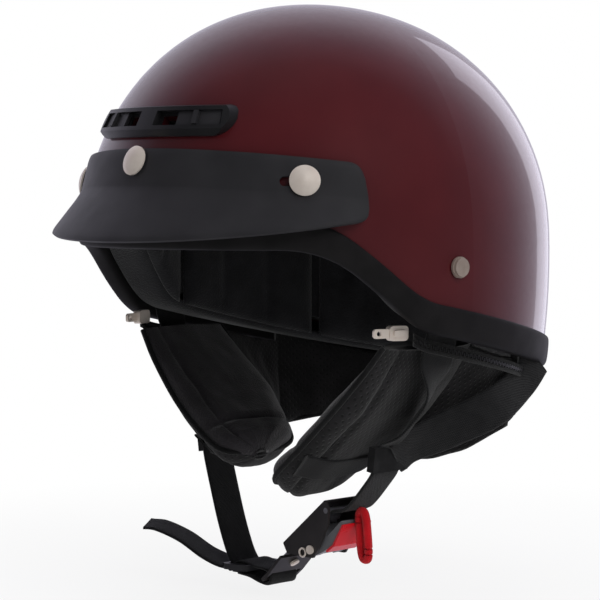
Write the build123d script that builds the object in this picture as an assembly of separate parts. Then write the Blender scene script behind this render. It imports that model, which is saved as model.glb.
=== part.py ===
"""Half-shell motorcycle helmet with a snap-on peak, ear flaps and a ratchet chin strap.

Millimetres. +Z is up, the helmet faces -Y and the wearer's left is +X.
The origin is the middle of the wearer's head at the height of the brow rim.
"""
from build123d import *
import math
import os

# Shell: a dome of two half ellipsoids that meet in the crown plane
HALF_WIDTH = 113.0
FRONT_REACH = 125.0
REAR_REACH = 144.0
CROWN_Y = -10.0
CROWN_Z = 130.0
WAIST_Z = 3.0
ROUNDNESS = 2.12
TUCK = 7.0
FLOOR_Z = -95.0
SHELL_WALL = 4.0
UNIT = 100.0

# Layers inside the shell, as depths under its outer face
FOAM_IN = 26.0
PAD_IN = 33.0
LAYER_GAP = 0.3
PAD_SPLIT_Z = 40.0

# Rim: the lowest edge of the trim, as points (y, z) seen from the wearer's left
RIM = [(-220.0, 4.0), (-90.0, 4.0), (-43.0, -36.2), (180.0, -80.0)]
RIM_RADIUS = 50.0
TRIM_HEIGHT = 15.5
TRIM_LIP = 2.4
TRIM_INNER = 2.6

# Peak
PEAK_GAP = 1.2
PEAK_WALL = 2.4
PEAK_HALF_ANGLE = 62.0
PEAK_SECTIONS = 13
PEAK_TOP = (44.0, 9.0)
PEAK_CREASE = (26.0, 6.0)
PEAK_TIP = (18.0, -11.0)
PEAK_BRIM = 19.0
PEAK_END_Y = -66.0
CAP_RADIUS = 7.5
CAP_HEIGHT = 3.0
STUD_RADIUS = 1.8
SNAPS = [("centre", 0.0, 46.0), ("left", 46.0, 36.5), ("right", -46.0, 36.5)]

# Vent, a ring section about an upright axis behind it
VENT_AXIS_Y = -28.4
VENT_Z = 66.0
VENT_HALF_ANGLE = 30.5
VENT_HEIGHT = 17.0
VENT_RISE = 4.6
WINDOW_ANGLES = (3.5, 26.5)
SHUTTER_ANGLES = (11.5, 26.0)
RIDGE_ANGLES = (17.4, 19.0)

# Strap anchors on the shell's sides
RIVET_Y = -21.0
RIVET_Z = -5.0
RIVET_RADIUS = 5.3
SHANK_RADIUS = 2.5

# Webbing
WEB_WIDTH = 22.0
WEB_THICK = 1.6
CHIN_Y = -20.0
STRAP_FOOT = 64.0
JOINT_Z = -103.5

# Ear flaps: the middle line of each pad in the x, z plane, and its side outline
FLAP_THICK = 15.0
FLAP_PATH_LEFT = [(88.0, -38.0), (67.0, -76.0), (46.0, -93.0), (18.0, -106.0)]
FLAP_PATH_RIGHT = [(88.0, -38.0), (68.0, -75.0), (50.0, -89.0), (30.0, -98.0)]

# Ratchet buckle, in its own frame: u along the tongue, v across the strap, w towards the wearer
BUCKLE_ORIGIN = (22.0, CHIN_Y, -146.0)
BUCKLE_SLOPE = 40.0
BUCKLE_WIDTH = 25.0
BUCKLE_WALL = 1.3
PIVOT = (-5.0, -6.2)
PIVOT_RADIUS = 1.7
PIVOT_CLEARANCE = 0.08


def roundness(z, height):
    """Share of the full plan size that the dome has at height z."""
    if z <= WAIST_Z:
        return 1.0
    return (1.0 - ((z - WAIST_Z) / height) ** ROUNDNESS) ** (1.0 / ROUNDNESS)


def dome(grow):
    """Solid dome whose wall stands `grow` outside the shell's outer face."""
    height = CROWN_Z - WAIST_Z + grow
    power = 2.0 / ROUNDNESS
    steps = 8
    curve = [(0.0, WAIST_Z + height)]
    for i in range(1, steps):
        angle = math.pi / 2 * (1.0 - i / steps)
        curve.append((UNIT * math.cos(angle) ** power, WAIST_Z + height * math.sin(angle) ** power))
    floor = FLOOR_Z + min(grow, 0.0) * 0.1
    for share in (0.1, 0.4, 0.7, 1.0):
        curve.append((UNIT - TUCK * share ** 2, WAIST_Z + (floor - WAIST_Z) * share))
    closing = Polyline(curve[-1], (0.0, floor), curve[0])
    half = Plane.XZ * make_face(Spline(curve, tangents=[(1, 0), (-0.13, -1)]) + closing)
    rear = revolve(half, Axis.Z, 180)
    front = Rot(0, 0, 180) * rear
    wide = (HALF_WIDTH + grow) / UNIT
    rear = scale(rear, by=(wide, (REAR_REACH + grow) / UNIT, 1.0))
    front = scale(front, by=(wide, (FRONT_REACH + grow) / UNIT, 1.0))
    return Pos(0, CROWN_Y, 0) * (rear + front)


def side_prism(face, reach=170.0):
    """Extrude a face drawn in (y, z) to both sides of the helmet."""
    return extrude(Plane.YZ * face, reach, both=True)


def above_rim(inset):
    """Everything above the rim line moved up by `inset` at right angles to it."""
    low = FilletPolyline(*RIM, radius=RIM_RADIUS)
    (first_y, first_z), (last_y, last_z) = RIM[0], RIM[-1]
    top = Polyline((last_y, last_z), (last_y, 200.0), (first_y, 200.0), (first_y, first_z))
    return side_prism(offset(make_face(low + top), -inset, kind=Kind.INTERSECTION))


DOMES = {}


def layer(outer, inner):
    """Wall between two dome surfaces, given as offsets from the shell's outer face."""
    for grow in (outer, inner):
        if grow not in DOMES:
            DOMES[grow] = dome(grow)
    return DOMES[outer] - DOMES[inner]


def surface_point(angle, z, out=0.0):
    """Point over the front half's outer face and its level outward direction."""
    share = roundness(z, CROWN_Z - WAIST_Z)
    turn = math.radians(angle)
    across, along = math.sin(turn), -math.cos(turn)
    x = HALF_WIDTH * share * across
    y = CROWN_Y + FRONT_REACH * share * along
    normal = Vector(across / HALF_WIDTH, along / FRONT_REACH, 0).normalized()
    return Vector(x, y, z) + normal * out, normal


def band_frame(angle, z, out):
    """Plane on the peak's band: z_dir leaves the shell, x_dir runs level to the wearer's left."""
    upper, normal = surface_point(angle, z + 8.0)
    lower, _ = surface_point(angle, z - 8.0)
    point, normal = surface_point(angle, z)
    rise = (upper - lower).normalized()
    level = Vector(-normal.Y, normal.X, 0).normalized()
    outward = level.cross(rise).normalized()
    if outward.dot(normal) < 0:
        outward = outward * -1
    return Plane(origin=point + outward * out, x_dir=level, z_dir=outward)


def peak_section(angle):
    """One upright section through the peak: band, crease and brim."""
    end = math.cos(math.radians(PEAK_HALF_ANGLE))
    share = max((math.cos(math.radians(angle)) - end) / (1.0 - end), 0.0)
    top, crease, tip = (base + rise * share for base, rise in (PEAK_TOP, PEAK_CREASE, PEAK_TIP))
    brim = 1.0 + PEAK_BRIM * share ** 0.75
    crease_point, normal = surface_point(angle, crease, PEAK_GAP)
    above, _ = surface_point(angle, top + 2.0, PEAK_GAP)
    lean = (above - crease_point).dot(normal)
    top_point = Vector(crease_point.X, crease_point.Y, top + 2.0) + normal * lean
    tip_point = Vector(crease_point.X, crease_point.Y, tip) + normal * brim
    wall = normal * PEAK_WALL
    lift = Vector(0, 0, PEAK_WALL * 0.55 * share)
    corners = [top_point, crease_point, tip_point, tip_point + wall + lift,
               crease_point + wall + lift, top_point + wall]
    return make_face(Polyline(*corners, close=True))


def peak_outline():
    """Side outline that trims the peak's ends and top edge, in (y, z)."""
    rear = PEAK_END_Y
    corners = [(-200.0, PEAK_TOP[0] + 16.5), (rear, PEAK_TOP[0]), (rear, 17.0), (-200.0, -12.0)]
    outline = make_face(Polyline(*corners, close=True))
    ends = [v for v in outline.vertices() if v.X > rear - 1.0]
    return side_prism(fillet(ends, 8.0))


def slot_cutter(frame, start, end, half_width, along_level):
    """Rounded slot through the peak from start to end, measured from the snap's middle."""
    length = end - start
    middle = (start + end) / 2
    shape = SlotOverall(length, 2 * half_width, rotation=0 if along_level else 90)
    shift = Pos(middle, 0, 0) if along_level else Pos(0, middle, 0)
    return extrude(frame * (shift * shape), 8.0, both=True)


def build_peak():
    sections = []
    for i in range(PEAK_SECTIONS):
        share = 2.0 * i / (PEAK_SECTIONS - 1) - 1.0
        sections.append(peak_section(share * PEAK_HALF_ANGLE))
    peak = loft(sections) & peak_outline()
    for name, angle, z in SNAPS:
        frame = band_frame(angle, z, PEAK_GAP)
        if name == "centre":
            peak -= slot_cutter(frame, -13.5, 4.6, 2.6, False)
        else:
            front = -1.0 if angle > 0 else 1.0
            low, high = sorted((front * 12.0, -front * 7.2))
            peak -= slot_cutter(frame, low, high, 3.1, True)
    return peak


def build_snap_caps():
    """Hollow domed caps that clip over the studs from outside the peak."""
    caps = []
    bottom = (Align.CENTER, Align.CENTER, Align.MIN)
    crown = Pos(0, 0, CAP_HEIGHT - 14.0) * Sphere(14.0)
    hollow = Pos(0, 0, 2.0 - 12.0) * Sphere(12.0)
    cap = Cylinder(CAP_RADIUS, CAP_HEIGHT, align=bottom) & crown
    cap -= Pos(0, 0, -1.0) * Cylinder(CAP_RADIUS - 1.0, 3.0, align=bottom) & hollow
    for _, angle, z in SNAPS:
        frame = band_frame(angle, z, PEAK_GAP + PEAK_WALL + 0.35)
        caps.append(frame.location * cap)
    return Compound(children=caps)


def build_snap_studs(shell_solid):
    """Studs fixed to the shell: a flange under the peak and a post through its slot."""
    studs = []
    for _, angle, z in SNAPS:
        frame = band_frame(angle, z, 0.0)
        post = Pos(0, 0, 1.3) * Cylinder(STUD_RADIUS, 6.0)
        flange = Pos(0, 0, -1.2) * Cylinder(4.5, 3.2)
        studs.append(frame.location * (post + flange) - shell_solid)
    return Compound(children=studs)


def vent_frame():
    """Ring radius at the vent's middle and the directions up and out of its slope."""
    def reach(z):
        point, _ = surface_point(0.0, z)
        return VENT_AXIS_Y - point.Y

    fall = reach(VENT_Z - 8.0) - reach(VENT_Z + 8.0)
    up = Vector(-fall, 16.0).normalized()
    out = Vector(up.Y, -up.X)
    return Vector(reach(VENT_Z), VENT_Z), up, out


def vent_ring(corners, start, end):
    """Revolve a section given as (along slope, out of slope) between two angles."""
    middle, up, out = vent_frame()
    points = [middle + up * u + out * n for u, n in corners]
    face = Plane.XZ * make_face(Polyline(*[(p.X, p.Y) for p in points], close=True))
    ring = revolve(face, Axis.Z, end - start)
    return Pos(0, VENT_AXIS_Y, 0) * (Rot(0, 0, start - 90.0) * ring)


def slab(half, low, high):
    """Corners of a vent section `half` to each side, from low to high above the shell."""
    return [(-half, low), (-half, high), (half, high), (half, low)]


def build_vent(shell_solid):
    """Housing with two captured shutters that slide round the ring towards the middle."""
    half = VENT_HEIGHT / 2
    hump = [(-half, -6.0), (-half, 1.4), (-half + 2.2, VENT_RISE), (half - 2.2, VENT_RISE),
            (half, 1.4), (half, -6.0)]
    housing = vent_ring(hump, -VENT_HALF_ANGLE, VENT_HALF_ANGLE)
    outline = Plane.XZ * (Pos(0, VENT_Z + 1.0) * SlotOverall(93.0, VENT_HEIGHT - 0.5))
    housing = (housing & extrude(outline, 200.0)) - shell_solid
    shutters = {}
    ducts = []
    for side, sign in (("left", 1.0), ("right", -1.0)):
        def span(angles):
            return sorted(sign * a for a in angles)

        housing -= vent_ring(slab(4.9, 1.0, 3.5), *span(WINDOW_ANGLES))
        housing -= vent_ring(slab(4.1, 3.0, 9.0), *span(WINDOW_ANGLES))
        duct = vent_ring(slab(3.0, -14.0, 6.0), *span((WINDOW_ANGLES[0] + 1.0, 10.6)))
        housing -= duct
        ducts.append(duct)
        shutter = vent_ring(slab(4.6, 1.25, 3.25), *span(SHUTTER_ANGLES))
        shutter += vent_ring(slab(3.7, 3.0, VENT_RISE + 0.6), *span(RIDGE_ANGLES))
        shutters[side] = shutter
    return housing, shutters, ducts


def side_frame(sign, y, z, depth):
    """Plane on the shell's side; z_dir points out of the shell."""
    reach = REAR_REACH if y > CROWN_Y else FRONT_REACH
    along = (y - CROWN_Y) / reach
    share = roundness(z, CROWN_Z - WAIST_Z)
    across = HALF_WIDTH * share * math.sqrt(1.0 - along ** 2)
    outward = Vector(sign * across / HALF_WIDTH ** 2, (y - CROWN_Y) / reach ** 2, 0).normalized()
    origin = Vector(sign * across, y, z) + outward * depth
    return Plane(origin=origin, x_dir=(0, 0, 1), z_dir=outward)


def build_rivets(shell_solid):
    """Domed rivets through the shell and the steel anchor plates that they hold."""
    heads, plates, holes, pockets = [], [], [], []
    head_shape = Pos(0, 0, 0.2) * Cylinder(RIVET_RADIUS, 1.4) + Pos(0, 0, 0.9) * Sphere(
        RIVET_RADIUS * 0.9) & Pos(0, 0, 0.9) * Cylinder(RIVET_RADIUS, 2.8)
    for sign in (1.0, -1.0):
        frame = side_frame(sign, RIVET_Y, RIVET_Z, 0.9).location
        shank = Pos(0, 0, -4.2) * Cylinder(SHANK_RADIUS, 9.0)
        heads.append(((frame * head_shape) - shell_solid) + frame * shank)
        inner = side_frame(sign, RIVET_Y, RIVET_Z, -SHELL_WALL).location
        plate = extrude(Pos(-4.0, 0) * RectangleRounded(26.0, 16.0, 4.0), 1.5)
        plates.append(inner * Pos(0, 0, -2.3) * (plate - Cylinder(SHANK_RADIUS, 8.0)))
        holes.append(frame * Cylinder(SHANK_RADIUS, 24.0))
        pockets.append(inner * (Pos(-12.0, 0, -5.0) * Box(72.0, 48.0, 10.0)))
    return heads, plates, holes, pockets


def ribbon(frame, points, radius, width=WEB_WIDTH, thick=WEB_THICK):
    """Flat webbing: a path drawn in the plane, thickened and extruded across it."""
    path = FilletPolyline(*points, radius=radius) if len(points) > 2 else Line(*points)
    return extrude(frame * trace(path, thick), width / 2, both=True)


def chin_plane(y=CHIN_Y):
    """Plane across the helmet at y, with x to the wearer's left and z up."""
    return Plane(origin=(0, y, 0), x_dir=(1, 0, 0), z_dir=(0, -1, 0))


def build_front_strap(sign):
    """Front leg of the side webbing, from the anchor plate down over the ear flap."""
    points = [(101.0, -13.0), (101.5, -36.0), (STRAP_FOOT + 28.0, -72.0),
              (STRAP_FOOT + 10.0, -88.5), (STRAP_FOOT + 2.6, -96.0)]
    return ribbon(chin_plane(), [(sign * x, z) for x, z in points], [14.0, 20.0, 12.0])


def build_rear_strap(sign):
    """Rear leg of the side webbing, from behind the ear to the strap joint."""
    start = Vector(sign * 97.0, 60.0, -64.5)
    end = Vector(sign * (STRAP_FOOT + 8.6), -1.0, JOINT_Z + 7.0)
    chord = end - start
    across = chord.cross(Vector(sign * 0.85, 0.1, -0.5)).normalized()
    frame = Plane(origin=start, x_dir=chord.normalized(), z_dir=across)
    length = chord.length
    bow = 5.0 if frame.y_dir.X * sign > 0 else -5.0
    points = [(0, 0), (length * 0.35, bow), (length * 0.7, bow), (length, 0)]
    return ribbon(frame, points, 30.0)


def build_strap_joint(sign):
    """Stitched block where the two legs of the side webbing meet."""
    shape = Box(4.4, 26.0, 13.0)
    return Pos(sign * STRAP_FOOT, CHIN_Y + 1.5, JOINT_Z) * (Rot(0, sign * 8.0, 0) * shape)


def flap_outline(low_front):
    """Side outline of an ear flap in (y, z), rounded at its lower corners."""
    corners = [(-50.0, -44.0), (53.0, -60.0), (53.0, -76.0), (28.0, -100.0), (-4.0, -135.0),
               (low_front, -135.0), (low_front, -98.0)]
    outline = make_face(Polyline(*corners, close=True))
    return fillet(outline.vertices().filter_by(lambda v: v.Y > -125.0), 5.0)


def build_flap(sign, path, low_front):
    """Padded flap: a curved band across the helmet, trimmed to its side outline."""
    line = FilletPolyline(*[(sign * x, z) for x, z in path], radius=[30.0, 30.0])
    band = trace(line, FLAP_THICK)
    tip = [v for v in band.vertices() if abs(v.X) < path[-1][0] + 8.0]
    band = fillet(tip, 6.0)
    body = extrude(chin_plane(0.0) * band, 90.0, both=True)
    return body & side_prism(flap_outline(low_front))


def build_flap_band(sign, path):
    """Elastic band stitched across the outside of the flap's lower part."""
    high, low = Vector(*path[1]), Vector(*path[2])
    along = (low - high).normalized()
    outward = Vector(-along.Y, along.X) * (FLAP_THICK / 2 + 0.9)
    ends = [high + along * 9.0 + outward, low - along * 3.0 + outward]
    return ribbon(chin_plane(-42.0), [(sign * p.X, p.Y) for p in ends], 1.0, 14.0, 1.2)


def buckle_frame():
    slope = math.radians(BUCKLE_SLOPE)
    return Plane(origin=BUCKLE_ORIGIN, x_dir=(math.cos(slope), 0, math.sin(slope)),
                 z_dir=(0, -1, 0))


def cross_pin(u, w, radius, length):
    """Round bar across the buckle at (u, w) in the buckle's side view."""
    return extrude(buckle_frame() * (Pos(u, w) * Circle(radius)), length / 2, both=True)


def buckle_slab(points, half_width, radius=0.0):
    """Side-view outline in the buckle's frame, extruded half_width to both sides."""
    face = make_face(Polyline(*points, close=True))
    if radius:
        face = fillet(face.vertices(), radius)
    return extrude(buckle_frame() * face, half_width, both=True)


def build_buckle():
    """Channel housing, its webbing bar, the pivot, the spring, the lever and the covers."""
    side = [(-21.0, 2.0), (-12.0, -6.0), (-6.5, -10.5), (0.0, -9.0), (14.0, -3.0), (19.5, 3.0),
            (20.5, 8.0), (-20.0, 8.0)]
    half = BUCKLE_WIDTH / 2
    channel = buckle_slab(side, half, 0.8)
    inside = [(-30.0, -30.0), (30.0, -30.0), (30.0, 6.6), (-30.0, 6.6)]
    channel -= buckle_slab(inside, half - BUCKLE_WALL)
    channel -= cross_pin(*PIVOT, PIVOT_RADIUS, 60.0)
    channel -= cross_pin(17.0, 3.4, 1.5, 60.0)
    bar = cross_pin(17.0, 3.4, 1.5, 2 * half)
    pin = cross_pin(*PIVOT, PIVOT_RADIUS, 2 * half + 0.4)
    pin_heads = cross_pin(*PIVOT, 2.3, 2 * half + 2.6) - cross_pin(*PIVOT, 2.3, 2 * half + 0.2)
    pin += pin_heads
    return channel, bar, pin


def build_lever():
    """Release lever inside the channel, with its pawl nose and finger end."""
    side = [(-9.5, -3.4), (-8.2, -8.6), (-1.0, -10.8), (8.0, -11.8), (20.0, -7.6), (21.0, -5.6),
            (7.0, -6.2), (4.0, 2.4), (1.0, 2.4), (-1.4, -3.0)]
    lever = buckle_slab(side, 9.6, 0.4)
    lever -= buckle_slab([(-30, -9.5), (-30, 0.0), (-1.6, 0.0), (-1.6, -9.5)], 5.2)
    lever -= cross_pin(*PIVOT, PIVOT_RADIUS + PIVOT_CLEARANCE, 60.0)
    grip = buckle_slab([(2.0, -12.9), (8.2, -13.4), (20.4, -9.0), (21.4, -7.9), (20.1, -8.0),
                        (8.0, -12.1), (2.2, -11.7)], 10.6, 0.3)
    return lever, grip


def build_spring():
    """Coil of round wire on the pivot between the lever's arms."""
    coil = []
    for i in range(5):
        ring = Torus(2.5, 0.45)
        place = buckle_frame().location * Location((PIVOT[0], PIVOT[1], -3.2 + 1.6 * i))
        coil.append(place * ring)
    return Compound(children=coil)


def build_spring_eye():
    """Spring's end, bent into an eye outside the channel's wall."""
    place = buckle_frame().location * Location((-10.5, -4.2, BUCKLE_WIDTH / 2 + 0.6))
    return place * Torus(2.2, 0.5)


def build_tongue():
    """Toothed tongue: a tapered plate with a row of ratchet teeth on its lower face."""
    top, bottom = 5.9, 3.9
    points = [(13.0, top), (-34.0, top), (-34.0, bottom), (-18.0, bottom)]
    pitch = 3.2
    for i in range(8):
        start = -16.0 + pitch * i
        points.append((start, bottom))
        points.append((start + 0.6, bottom - 1.1))
        points.append((start + pitch - 0.3, bottom))
    points.append((12.0, bottom))
    return buckle_slab(points, 5.6)


def build_tongue_plate():
    """Bent steel eye at the tongue's outer end that carries the webbing loop."""
    half = 13.0
    plate = buckle_slab([(-26.0, 3.7), (-26.0, 2.1), (-40.0, 0.6), (-46.0, 0.6), (-46.0, 2.2),
                         (-40.0, 2.2)], half)
    plate -= buckle_slab([(-39.0, -4.0), (-44.0, -4.0), (-44.0, 8.0), (-39.0, 8.0)], half - 2.0)
    return plate - cross_hole(-31.0)


def cross_hole(u, radius=1.6):
    """Hole through the tongue and its plate, at right angles to them."""
    frame = buckle_frame()
    hole = Plane(origin=frame.from_local_coords((u, 0, 0)), x_dir=frame.z_dir, z_dir=frame.y_dir)
    return extrude(hole * Circle(radius), 12.0, both=True)


def build_tongue_rivet():
    """Rivet that joins the tongue to its plate."""
    frame = buckle_frame()
    hole = Plane(origin=frame.from_local_coords((-31.0, 0, 0)), x_dir=frame.z_dir,
                 z_dir=frame.y_dir)
    shank = extrude(hole * (Circle(1.6)), 6.4)
    head = extrude(hole * Pos(0, 0, 5.9) * Circle(2.6), 0.9)
    foot = extrude(hole * Pos(0, 0, 0.3) * Circle(2.6), 1.0)
    return shank + head + foot


def build_adjuster(place):
    """Tri-glide adjuster: a rounded plate with two slots and a raised middle bar."""
    plate = extrude(RectangleRounded(19.0, 29.0, 3.0), 3.2)
    for x in (-5.0, 5.0):
        plate -= Pos(x, 0, 0) * Box(4.4, 23.0, 12.0)
    plate += Pos(0, 0, 2.4) * extrude(RectangleRounded(5.0, 27.0, 1.2), 1.8)
    return place * plate


def build_pull_loop():
    """Cord loop that hangs from the lever's finger end."""
    top = Vector(49.4, CHIN_Y, -134.0)
    frame = Plane(origin=top, x_dir=(1, 0, -0.1), z_dir=(0, -1, 0))
    outer = SlotOverall(30.0, 9.6, rotation=90)
    inner = SlotOverall(21.4, 1.4, rotation=90)
    face = Pos(0.0, -11.5) * (outer - inner)
    return extrude(frame * face, 2.2, both=True)


def zip_band(outer, inner, low, high, front):
    """Ring between two dome layers and two heights under the rim, behind y = front."""
    ring = layer(outer, inner) & (above_rim(low) - above_rim(high))
    return ring & Pos(0, front + 150.0, 0) * Box(400.0, 300.0, 400.0)


def build_curtain():
    """Soft neck curtain inside the rim, deepest where it meets the ear flaps."""
    band = layer(-7.4, -12.4) - above_rim(4.6)
    corners = [(59.0, -94.0), (150.0, -84.0), (150.0, 100.0), (59.0, 100.0)]
    return band & side_prism(make_face(Polyline(*corners, close=True)))


def zip_slider(sign):
    """Zip slider with its pull, standing outside the zip at the temple."""
    frame = side_frame(sign, -50.0, -37.0, -14.5)
    body = extrude(RectangleRounded(7.4, 10.5, 2.0), 4.2)
    bridge = Pos(0, 0, 4.2) * extrude(RectangleRounded(3.2, 6.8, 1.2), 1.6)
    pull = Pos(0, sign * 9.0, 2.2) * extrude(RectangleRounded(4.6, 10.0, 1.6), 1.4)
    pull -= Pos(0, sign * 11.0, 2.0) * Cylinder(1.2, 8.0)
    return frame.location * (body + bridge + pull)


def save(node, shape):
    """Write one node's STEP file."""
    export_step(shape, os.path.join("parts", node + ".step"))


def main():
    os.makedirs("parts", exist_ok=True)
    shell_solid = dome(0.0)
    DOMES[0.0] = shell_solid
    housing, shutters, ducts = build_vent(shell_solid)
    heads, plates, holes, pockets = build_rivets(shell_solid)

    shell = layer(0.0, -SHELL_WALL) & above_rim(2.5)
    foam = layer(-SHELL_WALL - 0.1, -FOAM_IN) & above_rim(TRIM_HEIGHT + 0.6)
    for cut in ducts + holes:
        shell -= cut
    for cut in ducts + pockets:
        foam -= cut
    save("outer_shell", shell)
    save("impact_liner", foam)

    pads = layer(-FOAM_IN - LAYER_GAP, -PAD_IN)
    box = Box(400.0, 400.0, 200.0)
    save("crown_pad", pads & Pos(0, 0, PAD_SPLIT_Z + 100.5) * box)
    save("headband_pad", (pads & above_rim(10.0)) & Pos(0, 0, PAD_SPLIT_Z - 100.5) * box)
    cover = layer(-6.8, -FOAM_IN + 0.2) & (above_rim(7.0) - above_rim(TRIM_HEIGHT + 0.4))
    for cut in pockets:
        cover -= cut
    save("liner_edge_cover", cover)
    trim = layer(TRIM_LIP, -SHELL_WALL - TRIM_INNER) & (above_rim(0.0) - above_rim(TRIM_HEIGHT))
    trim -= layer(0.05, -SHELL_WALL - 0.05) & above_rim(2.45)
    save("edge_trim", trim)
    save("neck_curtain", build_curtain())
    save("zipper_chain", zip_band(-5.4, -7.2, -8.5, -3.0, -36.0))

    save("vent_housing", housing)
    for side, shutter in shutters.items():
        save("vent_shutter_" + side, shutter)
    save("snap_studs", build_snap_studs(shell_solid))
    save("shell_rivets", Compound(children=heads))
    save("strap_anchors", Compound(children=plates))

    save("peak", build_peak())
    save("snap_caps", build_snap_caps())

    paths = {"left": FLAP_PATH_LEFT, "right": FLAP_PATH_RIGHT}
    for side, sign in (("left", 1.0), ("right", -1.0)):
        save("zipper_slider_" + side, zip_slider(sign))
        save("ear_flap_" + side, build_flap(sign, paths[side], -66.0 if side == "left" else -56.0))
        save("flap_band_" + side, build_flap_band(sign, paths[side]))
        save("front_strap_" + side, build_front_strap(sign))
        save("rear_strap_" + side, build_rear_strap(sign))
        save("strap_joint_" + side, build_strap_joint(sign))

    channel, bar, pin = build_buckle()
    lever, grip = build_lever()
    save("buckle_housing", channel)
    save("buckle_bar", bar)
    save("buckle_pivot", pin)
    save("lever_spring", build_spring())
    save("spring_eye", build_spring_eye())
    save("release_lever", lever)
    save("lever_grip", grip)
    save("pull_loop", build_pull_loop())
    save("ratchet_tongue", build_tongue() - cross_hole(-31.0))
    save("tongue_plate", build_tongue_plate())
    save("tongue_rivet", build_tongue_rivet())

    plane = chin_plane()
    save("strap_leg_left", ribbon(plane, [(62.8, -111.0), (47.0, -128.5), (37.5, -132.5)], 4.0))
    save("strap_leg_right", ribbon(plane, [(-62.8, -111.0), (-52.5, -143.0), (-46.0, -160.0),
                                           (-38.0, -170.6)], [20.0, 12.0]))
    save("strap_loop", ribbon(plane, [(-24.3, -169.0), (-11.2, -170.0), (-10.6, -178.0),
                                      (-24.3, -174.2)], [1.8, 2.6], 20.0))
    adjuster_place = Plane(origin=(-34.5, CHIN_Y, -168.5), x_dir=(1, 0, 0.03),
                           z_dir=(0.03, 0, -1)).location
    save("strap_adjuster", build_adjuster(adjuster_place))
    tail_frame = Plane(origin=(-48.0, CHIN_Y - 8.0, -168.0), x_dir=(-0.75, -0.5, 0.38),
                       z_dir=(0.5, -0.84, -0.1))
    save("strap_tail", ribbon(tail_frame, [(0, 0), (16.0, 3.5), (38.0, 3.0), (52.0, 0)], 18.0, 20.0))


main()
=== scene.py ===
"""Looks for a half-shell motorcycle helmet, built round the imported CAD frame.

Shapes are worked out in millimetres in the row frame and put down in metres.
"""
import math

import bpy
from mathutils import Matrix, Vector, noise


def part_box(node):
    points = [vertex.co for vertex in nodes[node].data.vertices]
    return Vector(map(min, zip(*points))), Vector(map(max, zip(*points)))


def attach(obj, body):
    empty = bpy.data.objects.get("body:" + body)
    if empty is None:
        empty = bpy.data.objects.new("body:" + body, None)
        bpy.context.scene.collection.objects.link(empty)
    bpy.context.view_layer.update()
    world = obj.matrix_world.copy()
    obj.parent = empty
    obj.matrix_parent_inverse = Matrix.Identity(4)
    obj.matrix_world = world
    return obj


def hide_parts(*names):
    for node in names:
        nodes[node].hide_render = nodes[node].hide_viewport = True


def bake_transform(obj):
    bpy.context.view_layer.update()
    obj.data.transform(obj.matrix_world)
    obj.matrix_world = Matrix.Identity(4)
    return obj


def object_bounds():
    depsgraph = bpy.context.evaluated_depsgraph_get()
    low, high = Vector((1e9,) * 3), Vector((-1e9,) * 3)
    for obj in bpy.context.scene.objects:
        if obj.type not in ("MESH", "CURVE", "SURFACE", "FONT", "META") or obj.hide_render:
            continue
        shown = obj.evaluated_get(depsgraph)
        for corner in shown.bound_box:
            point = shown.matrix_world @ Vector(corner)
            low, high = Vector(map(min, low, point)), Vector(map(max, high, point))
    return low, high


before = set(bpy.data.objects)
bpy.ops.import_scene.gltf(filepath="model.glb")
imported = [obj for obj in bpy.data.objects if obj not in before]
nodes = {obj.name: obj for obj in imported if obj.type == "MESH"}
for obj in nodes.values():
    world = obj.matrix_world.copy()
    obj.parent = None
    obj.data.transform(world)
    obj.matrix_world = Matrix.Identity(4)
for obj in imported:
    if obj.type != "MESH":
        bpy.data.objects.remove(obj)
cad_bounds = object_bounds()

MM = 0.001
SHELL_LOW, SHELL_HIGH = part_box("outer_shell")
HALF_WIDTH = SHELL_HIGH.x / MM
CROWN_Z = SHELL_HIGH.z / MM
CROWN_Y = -10.0
FRONT_REACH = CROWN_Y - SHELL_LOW.y / MM
REAR_REACH = SHELL_HIGH.y / MM - CROWN_Y
WAIST_Z = 3.0
ROUNDNESS = 2.12
TUCK = 0.07
TUCK_DEPTH = 98.0
RIM_CORNERS = ((-90.0, 4.0), (-43.0, -36.2))
RIM_REAR_SLOPE = -0.1964
RIM_BLENDS = (15.0, 11.0)
CHIN_Y = -20.0


# ---------------------------------------------------------------- shapes

def share(z, off=0.0):
    """Share of the full plan size that a dome layer has at height z."""
    height = CROWN_Z - WAIST_Z + off
    if z <= WAIST_Z:
        return 1.0 - TUCK * ((WAIST_Z - z) / TUCK_DEPTH) ** 2
    rise = min((z - WAIST_Z) / height, 1.0)
    return max(1.0 - rise ** ROUNDNESS, 0.0) ** (1.0 / ROUNDNESS)


def dome(turn, z, off=0.0):
    """Point of a dome layer: turn 0 is the front, a quarter turn the wearer's left."""
    s = share(z, off)
    reach = FRONT_REACH if math.cos(turn) > 0 else REAR_REACH
    return Vector(((HALF_WIDTH + off) * s * math.sin(turn),
                   CROWN_Y - (reach + off) * s * math.cos(turn), z))


def rim_z(y):
    """Height of the trim's lowest edge at y, with its two bends rounded."""
    (y1, z1), (y2, z2) = RIM_CORNERS
    steep = (z2 - z1) / (y2 - y1)
    result = z1 if y < y1 else z1 + steep * (y - y1)
    if y > y2:
        result = z2 + RIM_REAR_SLOPE * (y - y2)
    for corner, reach, before, after in ((y1, RIM_BLENDS[0], 0.0, steep),
                                         (y2, RIM_BLENDS[1], steep, RIM_REAR_SLOPE)):
        gap = reach - abs(y - corner)
        if gap > 0:
            result += (after - before) * gap * gap / (4.0 * reach)
    return result


def rim_point(turn, up, off):
    """Point `up` above the rim line on the dome layer `off`."""
    z = -20.0
    for _ in range(5):
        z = rim_z(dome(turn, z, 0.0).y)
    return dome(turn, z + up, off)


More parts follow.
